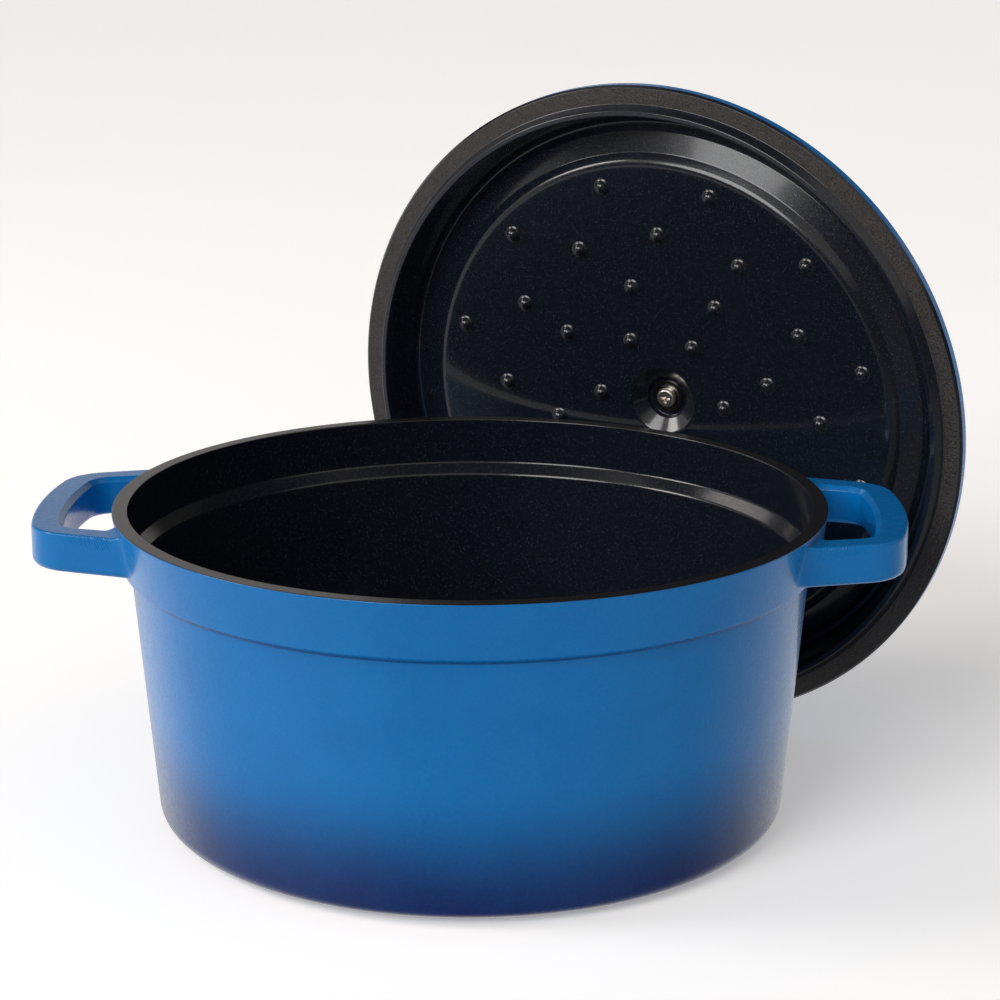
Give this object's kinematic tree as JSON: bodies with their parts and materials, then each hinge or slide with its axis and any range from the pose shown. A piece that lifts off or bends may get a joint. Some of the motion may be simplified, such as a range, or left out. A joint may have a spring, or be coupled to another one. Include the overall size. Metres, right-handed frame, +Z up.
{
  "type": "cast iron dutch oven",
  "caption": "Round enamelled cast iron dutch oven with two loop handles and a self-basting lid, which leans on the rim with its underside showing.",
  "frame": {"origin": "on the pot's axis, at the flat face of its foot", "axes": "+Z up out of the pot's mouth, +X and -X through the two handles, +Y towards the lid that leans behind"},
  "size_m": [0.382, 0.3303, 0.2889],
  "materials": {
    "pot_enamel": "gloss blue enamel outside, satin black inside",
    "lid_enamel": "gloss blue enamel outside, satin black inside",
    "gasket": "matte silicone",
    "knob_steel": "brushed stainless steel",
    "insert_brass": "turned",
    "fastener_steel": "polished stainless steel"
  },
  "bodies": {
    "pot": {"pot_body": "pot_enamel"},
    "lid": {"lid_body": "lid_enamel", "knob_gasket": "gasket", "knob_base_plate": "knob_steel", "knob_shell": "knob_steel", "knob_insert": "insert_brass", "knob_screw": "fastener_steel", "lock_washer": "fastener_steel", "flat_washer": "fastener_steel"}
  },
  "joints": [
    {"name": "lid_lift", "type": "slide", "parent": "pot", "child": "lid", "axis": [0.3055, 0.6377, 0.7071], "range_m": [0, 0.22]}
  ]
}
